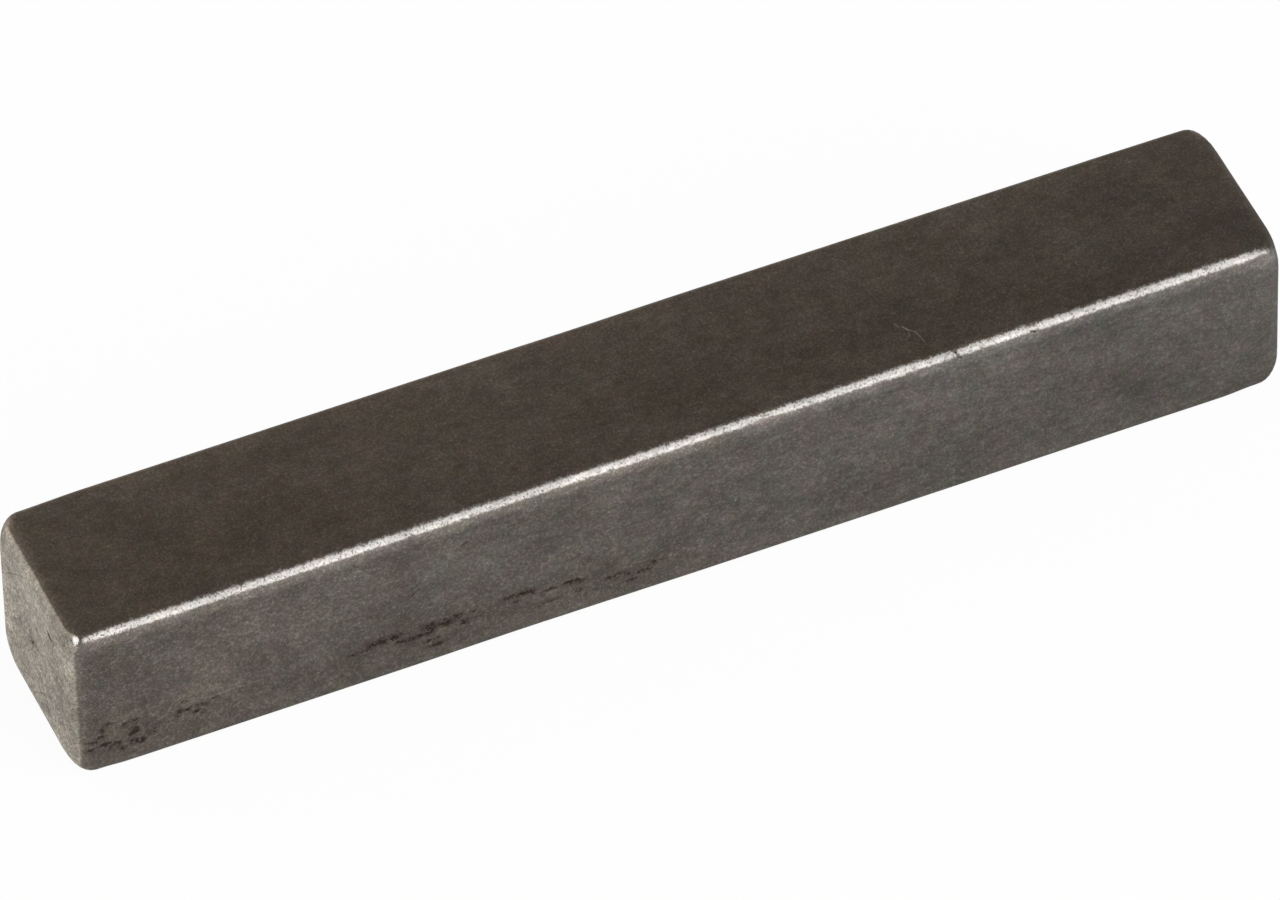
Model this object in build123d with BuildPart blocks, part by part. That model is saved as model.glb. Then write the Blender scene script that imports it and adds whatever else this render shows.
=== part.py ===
from build123d import *
from math import cos, pi, sin
import os

# Parallel key, form B: a square bar with straight ends, lying on its bottom face.
# +X runs along the key, -Y is the front flank, +Z is the top face.
# The origin is the middle of the bottom face. All lengths are in millimetres.

key_length = 40.0
key_width = 6.0  # between the two flanks, which bear on the keyway's walls
key_height = 6.0
edge_radius = 0.35  # rounding of the four long edges, as drawn

# The tumbled rim round each end: a quarter of an ellipse from the flanks to the end face.
rim_depth = 0.72  # how far the rim reaches along the key
rim_inset = 0.43  # how far the end face stands in from the flanks
corner_radius = 1.05  # the four corners of the end face
rim_spans = 4

rim_start = key_length / 2 - rim_depth

with BuildPart() as key:
    # the drawn bar, from its middle to where the rim begins
    with BuildSketch(Plane.YZ):
        with Locations((0, key_height / 2)):
            RectangleRounded(key_width, key_height, edge_radius)
    extrude(amount=rim_start)

    # the rim, whose corners grow rounder as it closes on the end face
    for span in range(rim_spans + 1):
        turn = pi / 2 * span / rim_spans
        closing = 1 - cos(turn)
        drawn_in = 2 * rim_inset * closing
        radius = edge_radius + (corner_radius - edge_radius) * closing
        with BuildSketch(Plane.YZ.offset(rim_start + rim_depth * sin(turn))):
            with Locations((0, key_height / 2)):
                RectangleRounded(key_width - drawn_in, key_height - drawn_in, radius)
    loft()

    # the other half is the same
    mirror(about=Plane.YZ)

os.makedirs("parts", exist_ok=True)
key.part.label = "key"
export_step(key.part, "parts/key.step")
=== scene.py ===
import math

import bmesh
import bpy
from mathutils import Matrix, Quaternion, Vector, noise

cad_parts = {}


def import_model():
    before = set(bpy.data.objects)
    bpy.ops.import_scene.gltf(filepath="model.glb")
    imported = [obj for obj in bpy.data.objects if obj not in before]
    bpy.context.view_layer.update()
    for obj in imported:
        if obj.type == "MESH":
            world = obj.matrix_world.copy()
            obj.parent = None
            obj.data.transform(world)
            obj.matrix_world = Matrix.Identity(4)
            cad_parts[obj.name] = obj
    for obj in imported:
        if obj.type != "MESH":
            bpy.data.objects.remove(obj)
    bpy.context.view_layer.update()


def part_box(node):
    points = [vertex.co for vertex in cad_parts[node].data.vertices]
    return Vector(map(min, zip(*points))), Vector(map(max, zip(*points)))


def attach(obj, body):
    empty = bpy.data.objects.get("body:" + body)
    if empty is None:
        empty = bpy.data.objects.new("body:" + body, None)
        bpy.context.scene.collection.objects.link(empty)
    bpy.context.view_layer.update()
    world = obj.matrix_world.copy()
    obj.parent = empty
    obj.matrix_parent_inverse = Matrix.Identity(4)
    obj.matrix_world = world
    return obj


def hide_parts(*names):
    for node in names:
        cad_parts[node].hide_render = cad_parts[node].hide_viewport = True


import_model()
print("frame loaded")

mm = 0.001
low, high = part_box("key")
middle = (low + high) / 2
half = (high - low) / (2 * mm)  # half sizes in millimetres
tiny = 1e-6  # lengths below this count as nothing

keyForm = {  # lengths in millimetres; a rim runs from 0 at the flank to 1 at the end face
    "edgeRadius": 0.35,
    "rimDepth": 0.72,
    "rimInset": 0.43,
    "cornerRadius": 1.05,
    "crispCorner": 0.75,  # the corner past the bright edge's left end is rounded less

    # the mesh
    "cutsAlong": 270,
    "cutsAcross": 45,
    "crowdAlong": 0.35,  # 0 spaces the cuts evenly, 1 crowds them towards the ends
    "crowdAcross": 0.5,
    "onFace": 0.01,  # a point this near a face lies on it
    "finerEdge": 0.55,  # more cuts this near the bright edge
    "finerCorner": 0.6,
    "marksAlong": (-19.8, 0.4),  # and in the stretch of the front flank that holds the scale marks
    "marksUp": (-2.6, -0.8),

    # unevenness, always inwards
    "waviness": 0.004,
    "wavesPerMm": 0.25,
    "edgeWobble": 0.014,  # on the bright edge
    "wobblesPerMm": 2.2,
    "endWobble": 0.004,
    "endWobblesPerMm": 0.6,
    "endTaper": 0.030,  # the flanks fall away a little before the rims start
    "taperReach": 3.0,
    "pitDepth": 0.022,
    "pitsPerMm": 5.0,
    "pitsFrom": (0.3, 0.8),  # how deep inside a scale mark they start and are whole
    "pitShare": (0.2, 0.8),  # a narrower span leaves fewer slopes between pit and level steel

    # where the scale marks may lie on the front flank
    "markBlur": (0.035, 0.025),  # added to each mark's half length and half height
    "scaleSpan": (-20.0, 0.6),
    "scaleDeep": 0.9,  # how far in from the flank, round its lower edge

    # a small burnished flat on the corner past the bright edge's left end
    "flatAt": (-19.71, -2.705, 2.855),
    "flatFacing": (-0.18, -0.63, 0.75),
    "flatReach": 0.22,
    "flatTall": 0.75,  # below 1 it is taller than wide
    "flatSunk": 0.038,  # below the rounded corner
    "flatBlend": (0.8, 1.0),
    "flatGlow": 0.3,  # its steel is painted paler: a painted highlight
    "glowFade": (1.0, 0.6),

    # how bright the edges are rubbed; the front top edge's full strength is partly a painted highlight
    "brightEdge": 1.0,  # the front top edge, rubbed bare, where the rubbed colour is partly a painted highlight
    "otherEdges": 0.5,
    "rubStops": (0.20, 0.36),  # where round the rim the rubbing dies out
    "topLean": 0.12,  # the rubbed strip and its painted highlight lie a little towards the top
    "frontLean": 0.28,
    "leanDrop": 0.16,  # the lean lessens along this stretch
    "leanDropSpan": (5, 12),
    "flatRub": 1.2,  # the flat at its left end is rubbed as well, partly a painted highlight

    # how much handling has paled the steel next to the edges
    "shoulder": 0.52,  # the front just under the bright edge
    "shoulderReach": 0.34,
    "shoulderStart": 0.1,
    "shoulderStops": (0.2, 0.6),
    "backEdge": 0.5,
    "backBand": 0.13,  # the top along its back edge
    "backBandSpan": (1.9, 2.6),
    "topLevel": 2.9,
    "backCorners": 0.9,
    "backCornersRound": (0.15, 0.5),
    "backCornersSpan": (2.1, 2.6),
    "topRims": 0.15,
    "flankRims": 0.45,
    "leftRims": (0.1, 0.5),
    "rightRims": (0.1, 0.9),

    # where the cut faces' pale steel starts round the rims
    "leftCut": 0.46,
    "rightCut": 0.9,
    "cornerPaintedLight": 0.26,  # it starts this much sooner at the crisp corner: painted light over a spot the corner's shape leaves in shade
    "cornerReach": 0.3,
    "frontCut": 0.65,  # on the front its line is softer
    "leftFace": -19.75,  # past this a point belongs to the left end

    # broad changes of brightness, some of them painted light
    "cutRim": -0.17,  # the cut faces are a little darker on their rims
    "cutRimRise": (0.4, 0.6),
    "cutRimFall": (0.8, 1.0),
    "frontRise": 0.07,  # the front is painted a little paler towards its top: painted shading
    "frontRiseSpan": (-2.2, 1.8),
    "topRise": 0.018,  # and the top towards its back, for each millimetre
}


def crowd(place, amount):
    return place * (1 - amount) + math.sin(place * math.pi / 2) * amount


def smooth(start, end, value):
    share = min(1.0, max(0.0, (value - start) / (end - start)))
    return share * share * (3 - 2 * share)


def wave(co):  # 0 to 1
    return 0.5 + 0.5 * noise.noise(co)


def spread(co):  # where a point of the blank lies on the square bar
    x = crowd(co.x, keyForm["crowdAlong"]) * half.x
    y = crowd(co.y, keyForm["crowdAcross"]) * half.y
    z = crowd(co.z, keyForm["crowdAcross"]) * half.z
    return x, y, z


def inMarks(place):
    x, y, z = place
    left, right = keyForm["marksAlong"]
    bottom, top = keyForm["marksUp"]
    return y < keyForm["onFace"] - half.y and left < x < right and bottom < z < top


def onBrightEdge(place):
    x, y, z = place
    near = keyForm["finerEdge"]
    return y < near - half.y and z > half.z - near and abs(x) < half.x - keyForm["onFace"]


def onLeftEnd(place):
    return place[0] < keyForm["onFace"] - half.x


def onCorner(place):
    x, y, z = place
    near = keyForm["finerEdge"]
    return x < keyForm["finerCorner"] - half.x and y < near - half.y and z > half.z - near


def blankBar(bm):  # a two by two by two cube of quads, cut into a fine grid
    bmesh.ops.create_cube(bm, size=2)
    for axis, cuts in enumerate((keyForm["cutsAlong"], keyForm["cutsAcross"], keyForm["cutsAcross"])):
        along = [e for e in bm.edges if abs(e.verts[0].co[axis] - e.verts[1].co[axis]) > tiny]
        bmesh.ops.subdivide_edges(bm, edges=along, cuts=cuts, use_grid_fill=True)
    for region, cuts in ((inMarks, 2), (onBrightEdge, 1), (onLeftEnd, 1), (onCorner, 1)):
        finer = [e for e in bm.edges if all(region(spread(v.co)) for v in e.verts)]
        bmesh.ops.subdivide_edges(bm, edges=finer, cuts=cuts, use_grid_fill=True)


# takes a point of the blank to the tumbled bar, and says how far round edge and rim it lies
def roundOff(co):
    x, y, z = spread(co)
    rimStart = half.x - keyForm["rimDepth"]
    past = max(0.0, (abs(x) - rimStart) / keyForm["rimDepth"])
    closing = 1 - math.cos(past * math.pi / 2)
    if past > 0:
        x = math.copysign(rimStart + keyForm["rimDepth"] * math.sin(past * math.pi / 2), x)
    ring = max(abs(y) / half.y, abs(z) / half.z)  # 1 on the flanks, less towards the middle of an end face
    inset = keyForm["rimInset"] * closing
    corner = keyForm["crispCorner"] if x < 0 and y < 0 < z else keyForm["cornerRadius"]
    radius = (keyForm["edgeRadius"] + (corner - keyForm["edgeRadius"]) * closing) * ring
    a, b = abs(y) * (1 - inset / half.y), abs(z) * (1 - inset / half.z)
    p, q = a - ((half.y - inset) * ring - radius), b - ((half.z - inset) * ring - radius)
    edgeTurn = 0.0
    if p > 0 and q > 0:
        pull = radius / math.hypot(p, q)
        edgeTurn = math.asin(min(p, q) / math.hypot(p, q)) / (math.pi / 4)
        a, b = a + p * (pull - 1), b + q * (pull - 1)
    return Vector((x, math.copysign(a, y), math.copysign(b, z))), edgeTurn, past


def fromFlat(co):  # 1 at the rim of the corner's flat
    away = co - Vector(keyForm["flatAt"])
    return Vector((away.x, away.y, away.z * keyForm["flatTall"])).length / keyForm["flatReach"]


edgeFlaws = [  # along the bright edge, whose rubbed colour is partly a painted highlight: x, reach, how much more or less it is rubbed
    (-19.6, 0.1, -0.8), (-19.3, 0.42, -0.4), (-14.75, 0.3, -0.12), (-8.88, 0.15, -0.25),
    (-8.23, 0.07, -0.15), (-2.4, 0.18, -0.25), (2.72, 0.5, -0.42), (3.3, 0.25, -0.12), (7.1, 0.42, 0.6),
    (8.72, 0.2, -0.15), (9.08, 0.1, -0.35), (9.26, 0.16, -0.2), (10.5, 0.5, -0.08), (11.62, 0.28, -0.22),
    (17.46, 0.14, -0.25), (19.35, 0.35, -0.35),
]


def rubbedAndSheen(co, edgeTurn, past):  # how brightly an edge is rubbed, 1 along the middle of the front top edge, where it is partly a painted highlight
    front = co.y < 0 < co.z
    amount = edgeTurn * keyForm["brightEdge" if front else "otherEdges"]
    if front:
        frontLean = keyForm["frontLean"] - keyForm["leanDrop"] * smooth(*keyForm["leanDropSpan"], co.x)
        amount += (1 - edgeTurn) * (keyForm["topLean"] if co.z > -co.y else -frontLean)
        for x, reach, change in edgeFlaws:
            away = abs(co.x - x) / reach
            if away < 1:
                amount += edgeTurn * change * (1 - away * away)
    amount *= 1 - smooth(*keyForm["rubStops"], past)
    return max(amount, keyForm["flatRub"] - fromFlat(co))


def handled(co, edgeTurn, past):  # how much handling has paled a point
    pale = 0.0
    if co.y < 0 and co.z > 0 and -co.y >= co.z - keyForm["shoulderStart"]:
        down = half.z - keyForm["edgeRadius"] - co.z
        straight = 1 - smooth(*keyForm["shoulderStops"], past)
        pale += keyForm["shoulder"] * (1 - smooth(0, keyForm["shoulderReach"], down)) * straight
    if co.y > 0 and co.z > 0:
        pale += keyForm["backEdge"] * edgeTurn
        near = smooth(*keyForm["backCornersSpan"], min(co.y, co.z))
        pale += keyForm["backCorners"] * smooth(*keyForm["backCornersRound"], past) * near
    if co.z > keyForm["topLevel"]:
        pale += keyForm["backBand"] * smooth(*keyForm["backBandSpan"], co.y)
    rims = keyForm["topRims" if co.z > abs(co.y) else "flankRims"]
    return pale + rims * smooth(*keyForm["leftRims" if co.x < 0 else "rightRims"], past)


def cutShare(co, past):  # how far past the cut face's line a point lies
    if co.x > 0:
        return past - keyForm["rightCut"]
    # near the corner's flat the pale steel starts sooner: painted light over shade
    away = (co - Vector(keyForm["flatAt"])).length / keyForm["cornerReach"]
    beyond = past - keyForm["leftCut"] + keyForm["cornerPaintedLight"] * math.exp(-away * away)
    return beyond * (keyForm["frontCut"] if -co.y > abs(co.z) else 1)


def broadShade(co, past):  # broad changes of brightness, beside the patches below; they include a painted highlight on the corner's flat and painted shading on the front
    # the corner's flat painted paler: a painted highlight
    shade = keyForm["flatGlow"] * smooth(*keyForm["glowFade"], fromFlat(co))
    rise = smooth(*keyForm["cutRimRise"], past)
    shade += keyForm["cutRim"] * rise * (1 - smooth(*keyForm["cutRimFall"], past))
    if -co.y > abs(co.z):
        # painted shading: the front paler towards its top
        shade += keyForm["frontRise"] * smooth(*keyForm["frontRiseSpan"], co.z)
    if co.z > abs(co.y):
        shade += keyForm["topRise"] * co.y
    return shade


clouds = {  # paler and darker places: along, up, reach along, reach up, change, warmth
    "front": [
        (-19.0, 1.9, 0.9, 0.7, -0.08, 0.2), (-18.3, -0.3, 0.9, 0.9, -0.08, 0.2),
        (-18.2, -1.6, 1.6, 0.9, -0.02, 1.8), (-16.2, -0.8, 1.1, 0.6, 0.1, 0.3),
        (-16.0, -1.6, 1.6, 0.8, -0.03, 1.6), (-15.0, -0.3, 0.9, 0.5, 0.07, 0.3),
        (-15.6, 1.0, 1.2, 1.6, 0.05, 0.3), (-12.5, 0.9, 2.8, 1.1, 0.09, 0.1),
        (-12.5, -1.8, 2.2, 0.7, -0.05, 0.1), (-9.3, 1.7, 0.8, 1.4, -0.1, 0.0),
        (-9.0, -0.4, 1.2, 0.7, -0.08, 0.0), (-8.2, 0.9, 0.7, 0.9, 0.05, -0.3),
        (-6.2, 0.8, 1.1, 1.0, 0.11, -0.1), (-8.6, -1.8, 3.0, 0.8, -0.2, 1.2),
        (-3.6, -1.8, 2.8, 0.8, -0.09, 0.6), (-4.5, 1.6, 2.0, 0.7, -0.04, 0.0),
        (-1.0, -2.0, 1.4, 0.5, -0.05, 0.4), (1.5, 1.0, 1.6, 1.3, -0.04, 0.0),
        (3.0, 0.3, 0.7, 1.6, 0.0, -0.5), (5.8, -1.4, 2.2, 0.8, -0.09, 0.2),
        (6.8, 0.7, 0.8, 0.6, 0.1, 0.0), (7.8, 1.4, 1.8, 1.0, 0.13, -0.3),
        (8.2, -2.1, 2.0, 0.6, -0.12, -0.4), (9.0, -0.8, 0.9, 0.5, -0.06, 0.0),
        (10.0, 1.9, 1.0, 0.6, 0.16, 0.2), (11.0, -1.7, 2.2, 0.6, -0.06, 0.1),
        (14.2, 1.6, 0.7, 0.7, -0.07, 0.0), (15.0, -0.9, 1.2, 1.3, -0.15, 0.0),
        (16.2, 1.2, 1.0, 1.1, 0.04, 0.0), (16.6, -1.9, 1.6, 0.8, -0.12, 0.2),
        (18.4, 1.0, 1.3, 1.7, 0.06, -0.5), (12.5, 2.4, 6.5, 0.35, 0.02, -1.2),
        (19.4, 2.45, 0.5, 0.3, 0.45, -0.4), (19.1, 2.1, 0.6, 0.2, 0.08, -0.3),
        (12.0, -0.5, 6.0, 2.5, -0.03, 0.0), (-15.39, -0.86, 0.11, 0.07, 0.55, 0.6),
        (-16.0, -0.75, 0.12, 0.09, 0.3, 0.2), (-15.05, -0.45, 0.25, 0.1, 0.15, 0.2),
        (-11.85, -0.75, 0.12, 0.09, 0.25, 0.0), (-6.55, -2.4, 0.1, 0.08, 0.4, 0.2),
        (-16.81, -0.43, 0.13, 0.06, 0.35, 0.0), (-14.99, -0.38, 0.08, 0.12, 0.42, 0.1),
    ],
    "top": [
        (-13.0, 0.0, 5.5, 3.0, -0.055, 0.0), (-17.0, 0.4, 2.2, 1.3, -0.04, -0.1),
        (-14.7, 1.3, 0.5, 0.7, 0.09, 0.0), (-14.0, -1.0, 3.4, 1.3, -0.05, 0.5),
        (-10.8, 0.6, 0.6, 0.7, 0.11, 0.0), (-9.8, -0.8, 0.9, 0.8, -0.06, 0.2),
        (-6.0, 0.9, 3.2, 1.7, 0.07, 0.0), (-4.2, 2.1, 0.6, 0.6, 0.08, 0.0),
        (0.0, -0.9, 2.4, 0.8, -0.15, 0.6), (4.0, -0.8, 2.2, 0.7, -0.08, 0.0),
        (7.0, -1.2, 2.2, 0.8, -0.13, 0.0), (8.0, -0.4, 0.9, 0.5, -0.06, -0.2),
        (10.3, -1.2, 0.9, 0.7, -0.15, 0.1), (10.0, 2.0, 1.1, 0.6, -0.06, 0.0),
        (12.1, 0.3, 0.9, 0.6, -0.11, -0.3), (12.2, 1.6, 0.8, 0.6, 0.13, -0.2),
        (13.9, 0.6, 0.5, 0.6, 0.08, -0.3), (14.8, -0.1, 0.8, 0.6, 0.02, -1.0),
        (14.0, -2.0, 1.3, 0.8, -0.16, 0.0), (16.2, -1.6, 0.9, 0.7, -0.11, -0.4),
        (18.3, -1.3, 0.9, 0.7, -0.13, 0.1), (17.0, 0.6, 2.2, 1.2, -0.04, 0.0),
        (4.0, -2.12, 0.08, 0.08, 0.5, 0.0), (17.7, 1.5, 0.08, 0.08, 0.35, 1.5),
        (11.9, -0.1, 0.08, 0.08, 0.3, 0.5), (11.35, -1.17, 0.08, 0.08, 0.3, 0.5),
        (13.0, -1.15, 0.08, 0.08, 0.3, 0.8),
    ],
    "leftEnd": [
        (-1.7, 0.3, 0.75, 0.95, -0.25, 0.5), (-2.4, 0.1, 0.5, 0.5, -0.12, -0.1),
        (-2.5, 2.3, 0.3, 0.35, -0.1, 0.1), (-0.5, 2.2, 1.0, 0.7, 0.12, -0.2),
        (1.0, 2.3, 1.1, 0.6, 0.09, -0.3), (1.2, 0.0, 0.4, 0.35, -0.07, 0.0),
        (0.3, 0.05, 0.36, 0.36, -0.2, 0.4), (1.8, 2.0, 0.55, 0.65, -0.08, 0.0),
        (0.8, -1.6, 1.3, 0.8, -0.12, 0.5), (1.4, -1.1, 0.7, 0.9, -0.06, 0.3),
        (-0.8, -2.1, 0.5, 0.5, -0.1, 0.1), (-2.0, -1.2, 0.9, 0.7, -0.07, -0.1),
        (2.1, -1.1, 0.5, 0.7, 0.12, 0.0), (2.4, 0.2, 0.35, 1.6, 0.1, 0.1),
        (-1.2, -0.6, 0.9, 0.4, -0.06, 0.0), (-1.35, 1.72, 0.2, 0.1, -0.4, 0.3),
        (-2.75, 1.5, 0.16, 1.2, 0.05, -0.3), (-2.5, -2.3, 0.4, 0.3, 0.1, -0.6),
        (-2.4, -1.5, 0.45, 0.45, 0.0, 0.9), (-1.9, -1.0, 0.5, 0.4, 0.02, -0.6),
        (0.85, 1.6, 0.7, 0.6, 0.0, -0.7), (0.1, -1.3, 0.5, 0.6, 0.08, 0.5),
        (-1.4, 1.35, 0.2, 0.25, -0.2, 0.4), (0.25, 0.0, 0.14, 0.16, -0.45, 0.3),
        (0.02, 0.05, 0.1, 0.22, -0.35, 0.2), (0.36, 0.26, 0.16, 0.22, -0.28, 0.5),
        (-1.7, 0.22, 0.12, 0.28, -0.14, 0.6), (-1.78, 0.52, 0.1, 0.18, -0.2, 0.3),
        (-1.32, 0.5, 0.25, 0.12, -0.28, 0.3), (-1.7, -0.08, 0.08, 0.12, -0.4, 0.2),
        (-0.2, 1.0, 0.12, 0.15, -0.45, 0.0), (-2.45, 2.35, 0.11, 0.2, -0.4, 0.5),
        (1.82, 2.2, 0.13, 0.11, -0.35, 0.0), (1.87, 1.5, 0.12, 0.13, -0.32, 0.0),
        (1.2, 0.0, 0.11, 0.15, -0.36, 0.1), (-0.8, -1.95, 0.13, 0.12, -0.4, 0.2),
        (-2.6, 0.15, 0.16, 0.1, -0.3, 0.0), (-0.9, -0.6, 0.16, 0.11, -0.26, 0.0),
        (-2.0, -0.4, 0.11, 0.2, -0.26, 0.0), (0.5, 0.8, 0.16, 0.12, -0.25, 0.0),
        (-0.4, 2.15, 0.12, 0.12, 0.22, 0.0), (-0.6, -1.0, 0.11, 0.28, 0.2, 0.5),
        (-2.3, -1.2, 0.2, 0.11, 0.2, 0.0), (-1.8, 0.6, 0.7, 0.7, -0.08, 0.0),
        (-0.6, 0.5, 0.7, 0.8, -0.09, 0.0), (-0.6, -0.6, 0.6, 0.6, -0.06, 0.0),
        (1.8, -0.6, 0.6, 0.6, 0.05, 0.0), (0.6, -1.8, 0.6, 0.6, -0.05, 0.0),
        (1.8, -1.8, 0.6, 0.6, -0.1, 0.0),
    ],
}


def cloudsAt(co):  # how much paler and how much warmer a point is than the plain finish
    if co.x < keyForm["leftFace"]:
        face, along, up = "leftEnd", co.y, co.z
    elif -co.y > abs(co.z):
        face, along, up = "front", co.x, co.z
    elif co.z > abs(co.y):
        face, along, up = "top", co.x, co.y
    else:
        return 0.0, 0.0
    pale = warm = 0.0
    for a, b, reachA, reachB, change, warmth in clouds[face]:
        away = ((along - a) / reachA) ** 2 + ((up - b) / reachB) ** 2
        if away < 4:  # past twice its reach a patch has faded out
            share = math.exp(-away)
            pale += change * share
            warm += warmth * share
    return pale, warm


scaleMarks = [  # dark scale on the front flank: x, z, half length, half height, strength
    (-18.93, -0.96, 0.13, 0.05, 1.0), (-19.08, -1.16, 0.06, 0.14, 0.84),
    (-19.16, -1.42, 0.12, 0.06, 0.84), (-19.36, -1.57, 0.18, 0.05, 0.8), (-19.47, -1.9, 0.14, 0.1, 0.75),
    (-19.0, -1.79, 0.25, 0.07, 0.9), (-18.65, -1.9, 0.16, 0.07, 0.9), (-18.35, -1.17, 0.08, 0.07, 0.74),
    (-18.08, -1.11, 0.12, 0.05, 0.93), (-18.0, -1.28, 0.06, 0.07, 0.56), (-18.03, -1.56, 0.09, 0.09, 1.3),
    (-18.12, -1.67, 0.08, 0.06, 1.15), (-18.4, -2.15, 0.13, 0.12, 0.6), (-18.46, -2.18, 0.06, 0.05, 0.95),
    (-18.22, -2.09, 0.06, 0.04, 0.8), (-18.17, -1.99, 0.09, 0.06, 1.15),
    (-17.98, -2.04, 0.12, 0.07, 1.05), (-17.8, -2.08, 0.09, 0.09, 1.05), (-18.85, -2.02, 0.2, 0.05, 0.7),
    (-18.58, -2.06, 0.12, 0.05, 0.65), (-17.4, -1.88, 0.1, 0.04, 0.65), (-17.3, -1.65, 0.12, 0.05, 0.6),
    (-19.2, -0.75, 0.05, 0.05, 0.6), (-18.15, -1.42, 0.06, 0.04, 0.65), (-17.48, -1.78, 0.14, 0.05, 0.74),
    (-17.58, -1.92, 0.09, 0.05, 0.65), (-17.62, -1.42, 0.07, 0.06, 0.65),
    (-17.42, -1.3, 0.05, 0.05, 0.56), (-17.12, -1.12, 0.07, 0.04, 0.7), (-16.58, -1.4, 0.06, 0.12, 0.8),
    (-16.68, -1.58, 0.06, 0.05, 0.7), (-16.32, -1.42, 0.14, 0.05, 0.94),
    (-16.03, -1.38, 0.16, 0.05, 0.74), (-15.8, -1.39, 0.11, 0.06, 0.85),
    (-16.02, -1.62, 0.15, 0.05, 0.88), (-15.84, -1.7, 0.06, 0.06, 0.84), (-16.45, -1.05, 0.1, 0.04, 0.77),
    (-16.6, -0.93, 0.06, 0.03, 0.59), (-15.42, -1.3, 0.15, 0.04, 0.64), (-14.38, -1.1, 0.1, 0.05, 0.5),
    (-10.95, -1.45, 0.15, 0.04, 0.7), (-10.8, -1.6, 0.05, 0.1, 0.4), (-10.5, -1.42, 0.2, 0.05, 0.8),
    (-10.1, -1.3, 0.4, 0.1, 1.0), (-9.95, -1.12, 0.15, 0.05, 0.7), (-9.55, -1.28, 0.22, 0.12, 1.0),
    (-9.4, -1.55, 0.15, 0.05, 0.9), (-8.95, -1.58, 0.4, 0.06, 1.0), (-8.6, -1.58, 0.25, 0.07, 1.0),
    (-8.38, -1.28, 0.2, 0.12, 1.0), (-8.38, -1.42, 0.08, 0.1, 1.0), (-8.85, -1.8, 0.15, 0.15, 0.4),
    (-8.42, -1.93, 0.2, 0.05, 0.85), (-8.17, -1.9, 0.06, 0.06, 0.8), (-8.2, -2.18, 0.22, 0.07, 1.1),
    (-7.85, -1.38, 0.25, 0.1, 1.0), (-7.85, -1.2, 0.2, 0.04, 0.7), (-7.55, -1.25, 0.25, 0.08, 0.9),
    (-7.28, -1.6, 0.13, 0.1, 1.0), (-7.0, -1.27, 0.2, 0.05, 0.7), (-6.9, -1.57, 0.2, 0.04, 0.6),
    (-6.3, -1.35, 0.15, 0.08, 0.4), (-5.75, -1.22, 0.25, 0.07, 0.9), (-5.58, -1.5, 0.08, 0.05, 0.8),
    (-5.3, -1.22, 0.3, 0.08, 1.0), (-5.05, -1.33, 0.1, 0.06, 0.9), (-5.25, -1.67, 0.1, 0.05, 0.6),
    (-4.65, -1.65, 0.08, 0.08, 0.5), (-4.48, -1.95, 0.25, 0.04, 0.7), (-4.83, -2.0, 0.06, 0.1, 0.6),
    (-4.5, -1.42, 0.2, 0.06, 0.8), (-3.85, -1.38, 0.2, 0.05, 1.0), (-3.9, -2.45, 0.1, 0.05, 0.4),
    (-3.53, -1.87, 0.09, 0.07, 0.9), (-3.7, -1.41, 0.16, 0.06, 1.1), (-3.5, -1.48, 0.16, 0.07, 1.0),
    (-2.45, -1.78, 0.22, 0.05, 0.77), (-2.35, -1.95, 0.1, 0.04, 0.51), (-2.1, -1.75, 0.2, 0.06, 0.85),
    (-1.9, -1.87, 0.08, 0.08, 0.77), (-1.86, -2.18, 0.17, 0.05, 0.85), (-1.4, -1.95, 0.25, 0.06, 0.77),
    (-1.05, -1.72, 0.15, 0.06, 0.77), (-0.75, -1.73, 0.1, 0.05, 0.68), (-0.3, -1.85, 0.3, 0.06, 0.34),
]


def scaleAt(co):  # how deep inside the scale marks a point lies
    left, right = keyForm["scaleSpan"]
    if co.y >= keyForm["scaleDeep"] - half.y or not left < co.x < right or co.z >= 0:
        return 0.0
    deepest = 0.0
    blurAlong, blurUp = keyForm["markBlur"]
    for x, z, reach, height, strength in scaleMarks:
        away = math.hypot((co.x - x) / (reach + blurAlong), (co.z - z) / (height + blurUp))
        if away < 2:  # past twice its reach a mark has faded out
            deepest = max(deepest, strength * (1 - away / 2))
    return deepest


def flatDepth(co, normal):  # how far the corner's flat lies under the rounded corner
    away = fromFlat(co)
    if away > 1:
        return 0.0
    facing = Vector(keyForm["flatFacing"]).normalized()
    over = (co - Vector(keyForm["flatAt"])).dot(facing) / normal.dot(facing) + keyForm["flatSunk"]
    return max(0.0, over) * (1 - smooth(*keyForm["flatBlend"], away))


hollows = [  # long shallow hollows: x, y, z, reach along, reach across, depth
    (-5.2, -3.0, -3.0, 4.0, 2.5, 0.024),
    (-1.8, -3.0, -3.0, 2.6, 2.5, 0.010),
    (13.5, -3.0, -3.0, 4.0, 2.5, 0.008),
    (-1.0, 3.0, 3.0, 3.0, 2.0, 0.010),
    (17.8, 3.0, 3.0, 1.6, 1.0, 0.010),
    (20.0, 2.75, 2.1, 0.8, 1.0, 0.034),
    (-18.9, 3.0, 3.0, 1.8, 1.0, 0.024),
    (-19.1, -2.9, -2.95, 0.7, 0.6, 0.020),
    (-19.85, -2.75, -1.8, 0.5, 0.9, 0.030),
    (19.7, -2.7, -2.75, 0.7, 0.6, 0.034),
    (19.0, -2.85, -2.9, 1.0, 0.6, 0.030),
]

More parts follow.
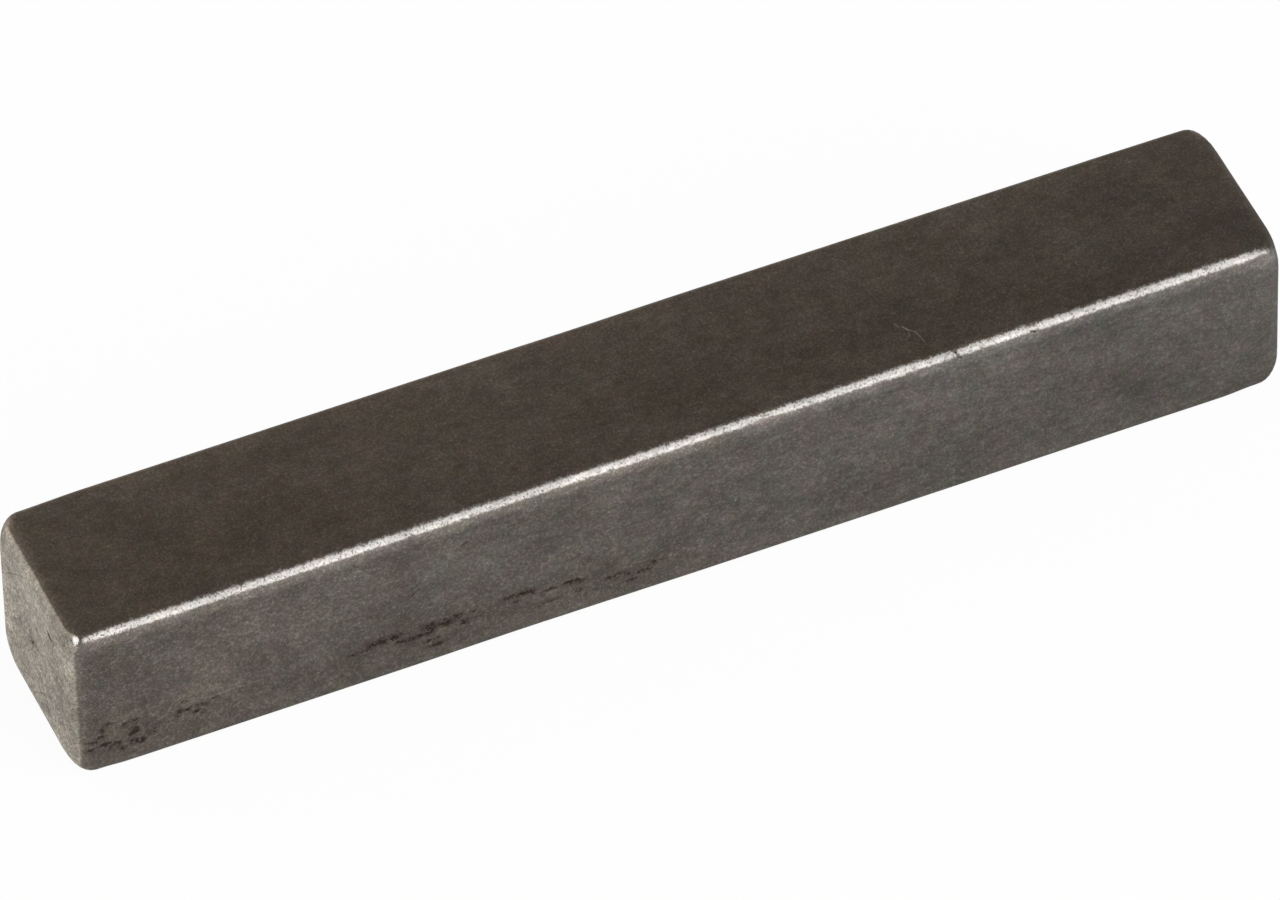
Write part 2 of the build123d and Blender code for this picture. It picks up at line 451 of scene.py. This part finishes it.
dents = [  # x, y, z from the middle, radius, depth
    (9.11, -2.93, 2.90, 0.11, 0.030),
    (11.59, -2.96, 2.80, 0.09, 0.030),
    (-8.88, -2.92, 2.94, 0.07, 0.025),
    (-8.23, -2.92, 2.90, 0.06, 0.015),
    (2.60, -2.94, 2.88, 0.16, 0.020),
    (-2.40, -2.94, 2.84, 0.14, 0.015),
    (17.46, -2.92, 2.90, 0.10, 0.015),
    (-19.79, 0.0, 2.87, 0.20, 0.050),
    (-20.0, -1.29, 1.80, 0.14, 0.015),
    (-20.0, 0.21, 0.00, 0.18, 0.045),
    (-20.0, -0.20, 1.00, 0.12, 0.015),
    (-20.0, -2.45, 2.35, 0.14, 0.015),
    (-20.0, -0.80, -1.95, 0.12, 0.015),
    (-20.0, 1.82, 2.20, 0.12, 0.015),
]


def wearDepth(co, edgeTurn, past, scale):  # how far the worn surface lies under the true one
    depth = keyForm["waviness"] * wave(co * keyForm["wavesPerMm"])
    if co.y < 0 < co.z:
        depth += keyForm["edgeWobble"] * edgeTurn * wave(co * keyForm["wobblesPerMm"])
    endWave = wave(co * keyForm["endWobblesPerMm"] + Vector((7, 0, 0)))  # set off from the other waves
    depth += keyForm["endWobble"] * smooth(0, 1, past) * endWave
    if scale > 0:
        pit = 0.5 + noise.noise(co * keyForm["pitsPerMm"])
        depth += keyForm["pitDepth"] * smooth(*keyForm["pitsFrom"], scale) * smooth(*keyForm["pitShare"], pit)
    depth += keyForm["endTaper"] * smooth(half.x - keyForm["taperReach"], half.x, abs(co.x)) ** 2
    for x, y, z, along, across, deep in hollows:
        away = math.hypot((co.x - x) / along, math.hypot(co.y - y, co.z - z) / across)
        if away < 1:
            depth += deep * (1 - away * away) ** 2
    for x, y, z, reach, deep in dents:
        away = (co - Vector((x, y, z))).length / reach
        if away < 1:
            depth += deep * (1 - away * away) ** 2
    return depth


keyLayers = ("rubbedAndSheen", "cut", "scale", "pale", "warm", "handled")  # what each point carries for its steel


def buildKey():
    bm = bmesh.new()
    blankBar(bm)
    layers = {name: bm.verts.layers.float.new(name) for name in keyLayers}
    turns = {}
    for v in bm.verts:
        v.co, edgeTurn, past = roundOff(v.co)
        turns[v] = edgeTurn, past
        pale, warm = cloudsAt(v.co)
        v[layers["rubbedAndSheen"]] = rubbedAndSheen(v.co, edgeTurn, past)
        v[layers["cut"]] = cutShare(v.co, past)
        v[layers["scale"]] = scaleAt(v.co)
        v[layers["pale"]] = pale + broadShade(v.co, past)
        v[layers["warm"]] = warm
        v[layers["handled"]] = handled(v.co, edgeTurn, past)
    bmesh.ops.recalc_face_normals(bm, faces=bm.faces)
    bm.normal_update()
    scale = layers["scale"]
    depths = [wearDepth(v.co, *turns[v], v[scale]) + flatDepth(v.co, v.normal) for v in bm.verts]
    for v, depth in zip(bm.verts, depths):
        v.co = v.co - v.normal * depth
    bmesh.ops.scale(bm, vec=(mm, mm, mm), verts=bm.verts)
    bmesh.ops.translate(bm, vec=middle, verts=bm.verts)
    for face in bm.faces:
        face.smooth = True
    mesh = bpy.data.meshes.new("wornKey")
    bm.to_mesh(mesh)
    bm.free()
    key = bpy.data.objects.new("wornKey", mesh)
    bpy.context.scene.collection.objects.link(key)
    return key


class Signal:  # one output of a shader node; Python's operators add the maths
    def __init__(self, tree, socket):
        self.tree = tree
        self.socket = socket

    def node(self, kind, settings, feeds, output=0):
        made = self.tree.nodes.new("ShaderNode" + kind)
        for name, value in settings.items():
            setattr(made, name, value)
        for name, value in feeds.items():
            if isinstance(value, Signal):
                self.tree.links.new(value.socket, made.inputs[name])
            else:
                made.inputs[name].default_value = value
        return Signal(self.tree, made.outputs[output])

    def maths(self, operation, first, second=0.0):
        return self.node("Math", {"operation": operation}, {0: first, 1: second})

    def __add__(self, other):
        return self.maths("ADD", self, other)

    def __radd__(self, other):
        return self.maths("ADD", other, self)

    def __sub__(self, other):
        return self.maths("SUBTRACT", self, other)

    def __rsub__(self, other):
        return self.maths("SUBTRACT", other, self)

    def __mul__(self, other):
        return self.maths("MULTIPLY", self, other)

    def __rmul__(self, other):
        return self.maths("MULTIPLY", other, self)

    def atLeast(self, other):
        return self.maths("MAXIMUM", self, other)

    def step(self, start, end):  # 0 below start, 1 above end, smooth between
        edges = {"Value": self, "From Min": start, "From Max": end}
        return self.node("MapRange", {"interpolation_type": "SMOOTHSTEP"}, edges)

    def mix(self, first, second):  # colours, by this signal
        return self.node("Mix", {"data_type": "RGBA"}, {0: self, 6: first, 7: second}, 2)

    def finish(self, shader):
        output = self.tree.nodes.new("ShaderNodeOutputMaterial")
        self.tree.links.new(shader.socket, output.inputs["Surface"])


def begin(material):
    material.use_nodes = True
    tree = material.node_tree
    tree.nodes.clear()
    return Signal(tree, None)


steelFinish = {
    "flankColour": (0.1115, 0.101, 0.0903, 1),
    "topColour": (0.1235, 0.103, 0.084, 1),
    "cutColour": (0.402, 0.3675, 0.3125, 1),
    "rubbedSheenColour": (0.358, 0.342, 0.3265, 1),
    # bare steel of the rubbed edges; on the front top edge it is partly a painted highlight
    "scaleColour": (0.031, 0.0235, 0.0175, 1),
    "warmTint": (1.06, 0.99, 0.94, 1),
    "coolTint": (0.97, 1.0, 1.03, 1),
    "purpleTint": (1.04, 0.965, 1.04, 1),
    "greenTint": (0.96, 1.035, 0.96, 1),
    "flankRoughness": 0.46,
    "rubbedRoughness": 0.36,
    "grazing": (0.62, 0.62, 0.62, 1),  # holds back the shine at a glancing angle
    "bump": {"Strength": 0.25, "Distance": 0.00001},

    # the grains that the steel is made of, in spots per millimetre
    "fineStretch": (1.16, 1, 1.08),
    "fineGrain": {"Scale": 11.5, "Detail": 2.0, "Roughness": 0.72},
    "coarseStretch": (0.75, 1, 1.35),
    "coarseGrain": {"Scale": 2.2, "Detail": 2.0, "Roughness": 0.8},
    "lace": {"Scale": 9.5, "Detail": 3.0, "Roughness": 0.8},
    "clouds": {"Scale": 0.6, "Detail": 2.0, "Roughness": 0.6},
    "rag": {"Scale": 5.0, "Detail": 3.0, "Roughness": 0.8},
    "warmDrift": {"Scale": 1.5, "Detail": 2.0, "Roughness": 0.7},
    "purpleDrift": {"Scale": 1.8, "Detail": 2.0, "Roughness": 0.7},

    # how ragged each finish ends, and where
    "cutRag": 0.10,
    "cutStops": (-0.02, 0.07),
    "topStops": (-0.1, 0.25),
    "rubbedRag": 1.1,
    "rubbedRagTop": 0.7,  # and more on the top
    "rubbedStops": (0.40, 0.66),
    "marksGain": 1.1,
    "marksLace": 3.7,
    "marksStops": (0.44, 0.92),
    "marksEdge": (0.0, 0.70),
    "stainRag": 0.8,  # a faint brown stain lies round the marks
    "stainStops": (0.0, 0.7),

    # how strongly the grains show
    "fineMottle": 1.92,
    "fineSkew": 2,  # pale specks stand out more than dark ones
    "fineSkewCut": 2.6,  # but not on the cut faces
    "fineSkewRubbed": 5,
    "fineCut": 0.14,
    "fineRim": 0.5,  # it is weaker where the cut faces start
    "fineRimStops": (0.45, 0.1),
    "fineFall": 0.006,  # on the flanks it weakens to the right, for each millimetre
    "coarseMottle": 0.9,
    "cloudMottle": 0.56,
    "mottleTop": 0.15,
    "mottleCut": 0.45,
    "topFall": 0.10,  # the top is darker to the right
    "topFallSpan": (-20, 20),
    "stainShade": 0.21,
    "fleck": 0.35,  # grey flecks on the bright edge
    "fleckStops": (-0.05, -0.16),
    "fleckMore": 1.1,  # with more of them at its left end
    "fleckMoreSpan": (-15.5, -18.5),

    # what tints the steel
    "warmByDrift": 2.0,
    "warmByPatch": 0.6,
    "warmFall": 0.008,
    "warmByStain": 1.9,
    "warmByGrain": 2.5,
    "purpleByDrift": 2.0,
    "purpleByStain": 0.25,
    "tintMiddle": 0.5,  # neither warm nor cool, neither purple nor green
    "tintStops": (-0.2, 1.2),
    "calmRubbed": 0.8,  # the bright places are tinted less
    "calmCut": 0.5,

    # scratches: how much of the width is whole, then how strong and how broken they are
    "scratchCore": 0.3,
    "paleScratch": 0.6,
    "paleScratchRag": 2,
    "darkScratchRag": 3,
}

scratches = [  # start, end, width, strength (dark below 0), in millimetres from the middle
    ((7.84, -1.07, 3), (7.89, -1.24, 3), 0.030, 0.5),
    ((8.00, -1.28, 3), (8.09, -1.44, 3), 0.040, 1.0),
    ((8.09, -1.44, 3), (8.28, -1.63, 3), 0.032, 0.7),
    ((8.28, -1.63, 3), (8.36, -2.12, 3), 0.030, 0.6),
    ((8.10, -1.48, 3), (8.04, -1.72, 3), 0.028, 0.5),
    ((8.04, -1.72, 3), (7.87, -1.83, 3), 0.028, 0.4),
    ((-16.3, -3, -1.16), (-14.0, -3, -1.18), 0.035, 0.25),
    ((8.98, -2.84, 2.98), (9.07, -2.90, 2.93), 0.070, -1.0),
    ((9.07, -2.90, 2.93), (9.12, -2.95, 2.87), 0.085, -1.1),
    ((9.06, -2.97, 2.80), (9.20, -2.98, 2.75), 0.045, -0.6),
    ((9.20, -2.87, 2.96), (9.30, -2.93, 2.90), 0.060, -0.35),
    ((11.54, -2.96, 2.85), (11.66, -2.98, 2.80), 0.065, -1.0),
    ((11.66, -2.93, 2.90), (11.74, -2.94, 2.88), 0.040, -0.5),
    ((2.62, -2.87, 2.94), (2.86, -2.90, 2.92), 0.050, -0.6),
    ((17.33, -2.85, 2.97), (17.45, -2.96, 2.86), 0.048, -0.9),
    ((17.45, -2.96, 2.86), (17.60, -2.88, 2.95), 0.048, -0.9),
    ((0.15, -2.97, 2.73), (0.32, -2.98, 2.68), 0.035, 0.5),
    ((17.40, -2.98, 2.72), (17.85, -2.99, 2.70), 0.030, 0.35),
    ((-8.92, -2.90, 2.93), (-8.84, -2.95, 2.86), 0.045, -0.8),
    ((-8.28, -2.86, 2.96), (-8.16, -2.89, 2.93), 0.030, -0.6),
    ((-8.98, -3, 0.22), (-8.88, -3, 0.36), 0.035, -0.7),
    ((-8.88, -3, 0.36), (-8.70, -3, 0.44), 0.030, -0.6),
    ((-7.26, -3, 1.74), (-7.14, -3, 1.84), 0.060, -0.5),
    ((-6.82, -3, 1.60), (-6.64, -3, 1.64), 0.050, -0.4),
    ((-7.70, -3, -1.60), (-7.30, -3, -2.35), 0.025, -0.35),
    ((-19.945, -1.18, 1.88), (-19.945, -1.27, 1.78), 0.075, -1.3),
    ((-19.945, -1.27, 1.78), (-19.945, -1.44, 1.74), 0.070, -1.2),
    ((-19.945, -1.44, 1.74), (-19.945, -1.66, 1.72), 0.055, -0.5),
    ((-19.955, 0.15, 0.10), (-19.955, 0.27, -0.06), 0.070, -0.9),
    ((-19.955, -0.05, 0.15), (-19.955, 0.12, -0.12), 0.040, -0.45),
    ((-19.955, 0.05, 0.45), (-19.955, 0.15, 0.25), 0.035, -0.4),
    ((-19.955, 0.22, -0.22), (-19.955, 0.33, -0.38), 0.035, -0.35),
    ((-19.955, -0.22, 1.02), (-19.955, -0.14, 0.92), 0.045, -0.4),
    ((-19.955, -0.95, 2.30), (-19.955, -0.30, 2.15), 0.030, 0.25),
    ((-19.955, -0.75, -1.05), (-19.955, -0.30, -1.25), 0.035, 0.4),
    ((-19.955, 2.10, 1.25), (-19.955, 1.30, 1.95), 0.035, -0.5),
    ((-19.955, 1.30, 1.95), (-19.955, 0.60, 2.50), 0.030, -0.35),
    ((-19.955, 2.03, -0.62), (-19.955, 1.17, 0.10), 0.035, -0.45),
    ((-19.955, 0.48, -2.43), (-19.955, -0.30, -1.70), 0.030, -0.45),
    ((-19.955, -0.30, -1.70), (-19.955, -1.00, -1.05), 0.030, -0.3),
]


def scratch(kit, spot, start, end, width, strength):
    run = Vector(end) - Vector(start)
    slope = run / run.length_squared
    along = kit.node("VectorMath", {"operation": "SUBTRACT"}, {0: spot, 1: start})
    share = kit.node("VectorMath", {"operation": "DOT_PRODUCT"}, {0: along, 1: slope}, "Value")
    share = kit.node("Clamp", {}, {"Value": share})
    foot = kit.node("VectorMath", {"operation": "SCALE"}, {0: run, "Scale": share})
    away = kit.node("VectorMath", {"operation": "DISTANCE"}, {0: along, 1: foot}, "Value")
    return away.step(width, width * steelFinish["scratchCore"]) * strength


def grain(kit, spot, settings):  # a noise round 0
    return kit.node("TexNoise", {}, {"Vector": spot, **settings}) - 0.5


def scaled(kit, colour, amount):
    return kit.node("VectorMath", {"operation": "SCALE"}, {0: colour, "Scale": amount})


def steel():
    material = bpy.data.materials.new("drawnSteel")
    kit = begin(material)
    look = steelFinish
    spot = kit.node("TexCoord", {}, {}, "Object")
    spot = kit.node("Mapping", {}, {"Vector": spot, "Location": (0, 0, -half.z), "Scale": (1 / mm,) * 3})
    fineSpot = kit.node("Mapping", {}, {"Vector": spot, "Scale": look["fineStretch"]})
    coarseSpot = kit.node("Mapping", {}, {"Vector": spot, "Scale": look["coarseStretch"]})
    fine = grain(kit, fineSpot, look["fineGrain"])
    coarse = grain(kit, coarseSpot, look["coarseGrain"])
    names = ("lace", "clouds", "rag", "warmDrift", "purpleDrift")
    lace, cloud, rag, warmDrift, purpleDrift = [grain(kit, spot, look[name]) for name in names]
    carried = [kit.node("Attribute", {"attribute_name": name}, {}, "Fac") for name in keyLayers]
    edge, rim, scale, pale, warm, handling = carried
    along = kit.node("SeparateXYZ", {}, {"Vector": spot}, "X")
    across = kit.maths("ABSOLUTE", kit.node("SeparateXYZ", {}, {"Vector": spot}, "Y"))
    height = kit.node("SeparateXYZ", {}, {"Vector": spot}, "Z")

    # where each finish lies, from 0 to 1
    cut = (rim + rag * look["cutRag"]).step(*look["cutStops"])
    onTop = (height - across).step(*look["topStops"])
    # the rubbed edges; along the front top edge partly a painted highlight
    wornAndSheen = (edge + rag * (look["rubbedRag"] + onTop * look["rubbedRagTop"])).step(*look["rubbedStops"])
    marks = (scale * look["marksGain"] + lace * look["marksLace"]).step(*look["marksStops"])
    marks = marks * scale.step(*look["marksEdge"])
    stain = (scale + rag * look["stainRag"]).step(*look["stainStops"])
    moreFleck = 1 + along.step(*look["fleckMoreSpan"]) * look["fleckMore"]
    fleck = fine.step(*look["fleckStops"]) * wornAndSheen * moreFleck
    scored = scratch(kit, spot, *scratches[0])
    for line in scratches[1:]:
        scored = scored + scratch(kit, spot, *line)

    # how bright it is
    skew = look["fineSkew"] - cut * look["fineSkewCut"] - wornAndSheen * look["fineSkewRubbed"]
    strength = 1 + cut * (look["fineCut"] - rim.step(*look["fineRimStops"]) * look["fineRim"])
    strength = strength - along * (1 - onTop) * look["fineFall"]
    mottle = fine * (1 + fine * skew) * strength * look["fineMottle"]
    mottle = mottle + coarse * look["coarseMottle"] + cloud * look["cloudMottle"]
    mottle = mottle * (1 - onTop * look["mottleTop"] + cut * look["mottleCut"]) + pale
    mottle = mottle - along.step(*look["topFallSpan"]) * onTop * look["topFall"] - stain * look["stainShade"]
    shade = kit.maths("EXPONENT", mottle)

    # its colour
    warmth = warmDrift * look["warmByDrift"] + warm * look["warmByPatch"] - along * look["warmFall"]
    warmth = warmth + stain * look["warmByStain"] - fine * look["warmByGrain"] + look["tintMiddle"]
    warmth = warmth.step(*look["tintStops"])
    purple = purpleDrift * look["purpleByDrift"] + stain * look["purpleByStain"] + look["tintMiddle"]
    purple = purple.step(*look["tintStops"])
    colour = scaled(kit, onTop.mix(look["flankColour"], look["topColour"]), 1 + handling)
    colour = cut.mix(colour, look["cutColour"])
    colour = wornAndSheen.mix(colour, look["rubbedSheenColour"])
    calm = wornAndSheen * look["calmRubbed"] + cut * look["calmCut"]
    for amount, first, second in ((warmth, "coolTint", "warmTint"), (purple, "greenTint", "purpleTint")):
        tint = amount.mix(look[first], look[second])
        tinted = kit.node("VectorMath", {"operation": "MULTIPLY"}, {0: colour, 1: tint})
        colour = calm.mix(tinted, colour)
    colour = scaled(kit, colour, shade * (1 - fleck * look["fleck"]))
    colour = marks.mix(colour, look["scaleColour"])
    colour = (scored * (look["paleScratch"] + rag * look["paleScratchRag"])).mix(colour, look["cutColour"])
    colour = ((0 - scored) * (1 + rag * look["darkScratchRag"])).mix(colour, look["scaleColour"])

    rough = look["flankRoughness"] + wornAndSheen * (look["rubbedRoughness"] - look["flankRoughness"])
    bump = kit.node("Bump", {}, {"Height": fine, **look["bump"]})
    surface = {"Base Color": colour, "Metallic": 1.0, "Roughness": rough, "Specular Tint": look["grazing"]}
    kit.finish(kit.node("BsdfPrincipled", {}, {**surface, "Normal": bump}))
    return material


key = buildKey()
key.data.materials.append(steel())
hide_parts("key")
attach(key, "root")
print("key built:", len(key.data.polygons), "faces")

studio = {
    "worldGrey": (0.47, 0.465, 0.455, 1),
    "floorColour": (0.9, 0.9, 0.9, 1),
    "floorProfile": ((0, 0), (1.1, 0), (1.3, 0.03), (1.4, 0.12), (1.4, 0.2)),  # metres out and up
    "floorSteps": 96,
    "whiteShare": 0.95,
}

lamps = {  # side, direction from the key, distance, radiance
    "softBox": (0.66, (0.27, -0.72, 0.64), 0.5, 1.9),
    "fillPanel": (0.60, (-0.55, 0.75, 0.25), 0.7, 0.78),
}


def paper():
    material = bpy.data.materials.new("palePaper")
    kit = begin(material)
    matt = kit.node("BsdfDiffuse", {}, {"Color": studio["floorColour"]})
    white = kit.node("Emission", {}, {"Color": (1, 1, 1, 1), "Strength": 1.0})
    seen = kit.node("LightPath", {}, {}, "Is Camera Ray")
    seen = seen.atLeast(kit.node("LightPath", {}, {}, "Is Glossy Ray"))
    seen = seen.atLeast(kit.node("LightPath", {}, {}, "Is Transmission Ray"))
    kit.finish(kit.node("MixShader", {}, {0: seen * studio["whiteShare"], 1: matt, 2: white}))
    return material


def paperFloor():  # a wide disc of paper whose edge turns up into a low wall
    bm = bmesh.new()
    points = [bm.verts.new((across, 0, up)) for across, up in studio["floorProfile"]]
    for first, second in zip(points, points[1:]):
        bm.edges.new((first, second))
    bmesh.ops.spin(bm, geom=bm.verts[:] + bm.edges[:], cent=(0, 0, 0), axis=(0, 0, 1), dvec=(0, 0, 0),
                   angle=2 * math.pi, steps=studio["floorSteps"], use_merge=True)
    bmesh.ops.remove_doubles(bm, verts=bm.verts, dist=tiny)
    bmesh.ops.recalc_face_normals(bm, faces=bm.faces)
    mesh = bpy.data.meshes.new("paperFloor")
    bm.to_mesh(mesh)
    bm.free()
    floor = bpy.data.objects.new("paperFloor", mesh)
    bpy.context.scene.collection.objects.link(floor)
    floor.data.materials.append(paper())


def softLight(name, side, direction, distance, radiance):  # a square panel that faces the key
    light = bpy.data.lights.new(name, "AREA")
    light.shape = "SQUARE"
    light.size = side
    light.energy = radiance * math.pi * side ** 2
    lamp = bpy.data.objects.new(name, light)
    direction = Vector(direction).normalized()
    lamp.location = middle + direction * distance
    lamp.rotation_euler = direction.to_track_quat("Z", "Y").to_euler()
    lamp.visible_camera = False
    bpy.context.scene.collection.objects.link(lamp)


def world():
    sky = bpy.data.worlds.new("studioGrey")
    bpy.context.scene.world = sky
    sky.use_nodes = True
    background = sky.node_tree.nodes["Background"]
    background.inputs["Color"].default_value = studio["worldGrey"]
    background.inputs["Strength"].default_value = 1.0


cameraView = {
    "azimuth": -22.466,  # degrees round from the front, towards the left end
    "elevation": 46.406,
    "roll": -1.56,
    "distance": 0.48389,
    "lens": 448.6,
    "sensor": 36,
    "aside": (-0.154, -0.0945),  # millimetres, right and up, from the key's middle
    "clip": (0.01, 20),
}


def camera():
    lens = bpy.data.cameras.new("camera")
    lens.lens = cameraView["lens"]
    lens.sensor_width = cameraView["sensor"]
    lens.clip_start, lens.clip_end = cameraView["clip"]
    eye = bpy.data.objects.new("camera", lens)
    turn, lift = math.radians(cameraView["azimuth"]), math.radians(cameraView["elevation"])
    back = Vector((math.sin(turn) * math.cos(lift), -math.cos(turn) * math.cos(lift), math.sin(lift)))
    aim = back.to_track_quat("Z", "Y") @ Quaternion((0, 0, 1), math.radians(cameraView["roll"]))
    across, up = cameraView["aside"]
    shift = aim @ Vector((across * mm, up * mm, 0))
    eye.location = middle + back * cameraView["distance"] + shift
    eye.rotation_euler = aim.to_euler()
    bpy.context.scene.collection.objects.link(eye)
    bpy.context.scene.camera = eye


paperFloor()
for name, settings in lamps.items():
    softLight(name, *settings)
world()
camera()
bpy.context.scene.view_settings.view_transform = "Standard"
print("studio ready")
